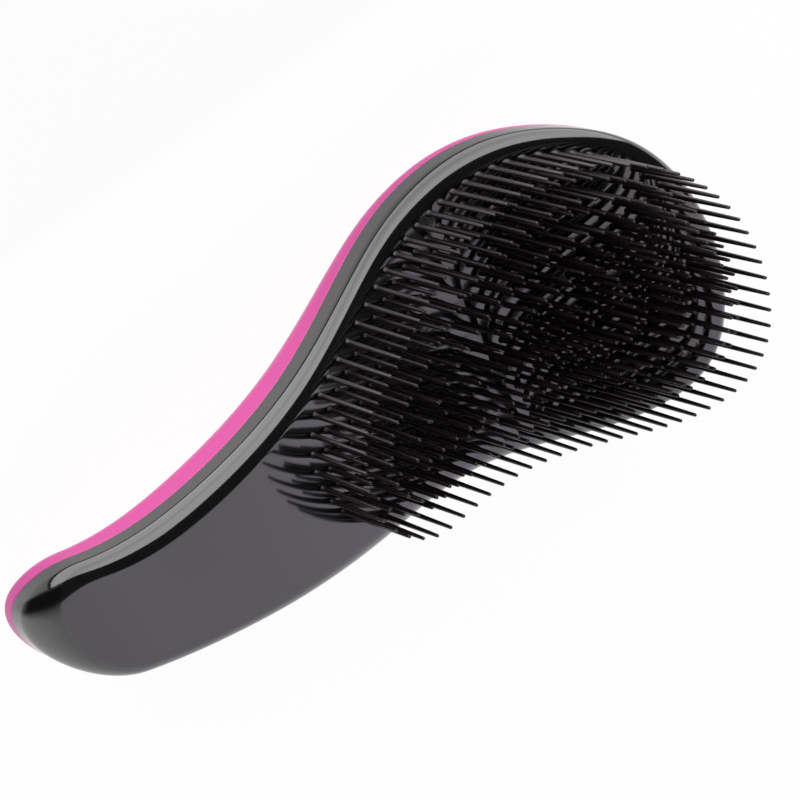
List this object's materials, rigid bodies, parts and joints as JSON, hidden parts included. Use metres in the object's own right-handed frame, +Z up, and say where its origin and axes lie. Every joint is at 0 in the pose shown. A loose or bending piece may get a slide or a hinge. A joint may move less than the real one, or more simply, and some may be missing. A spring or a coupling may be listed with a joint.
{
  "type": "detangling brush",
  "caption": "Handheld detangling brush: a waved hollow body of two joined shells with a slim grip and a broad curved head covered in rows of upright bristles.",
  "frame": {"origin": "under the middle of the brush's overall box, on the surface it lies on", "axes": "+X from the handle to the head, +Y across the brush, +Z up, with the brush on its back"},
  "size_m": [0.1786, 0.08, 0.0653],
  "materials": {
    "front_black": "polished moulded plastic",
    "back_pink": "polished moulded plastic",
    "bristle_black": "smooth moulded plastic"
  },
  "bodies": {
    "root": {"front_shell": "front_black", "back_cover": "back_pink", "bristle_row_01": "bristle_black", "bristle_row_02": "bristle_black", "bristle_row_03": "bristle_black", "bristle_row_04": "bristle_black", "bristle_row_05": "bristle_black", "bristle_row_06": "bristle_black", "bristle_row_07": "bristle_black", "bristle_row_08": "bristle_black", "bristle_row_09": "bristle_black"}
  },
  "joints": []
}
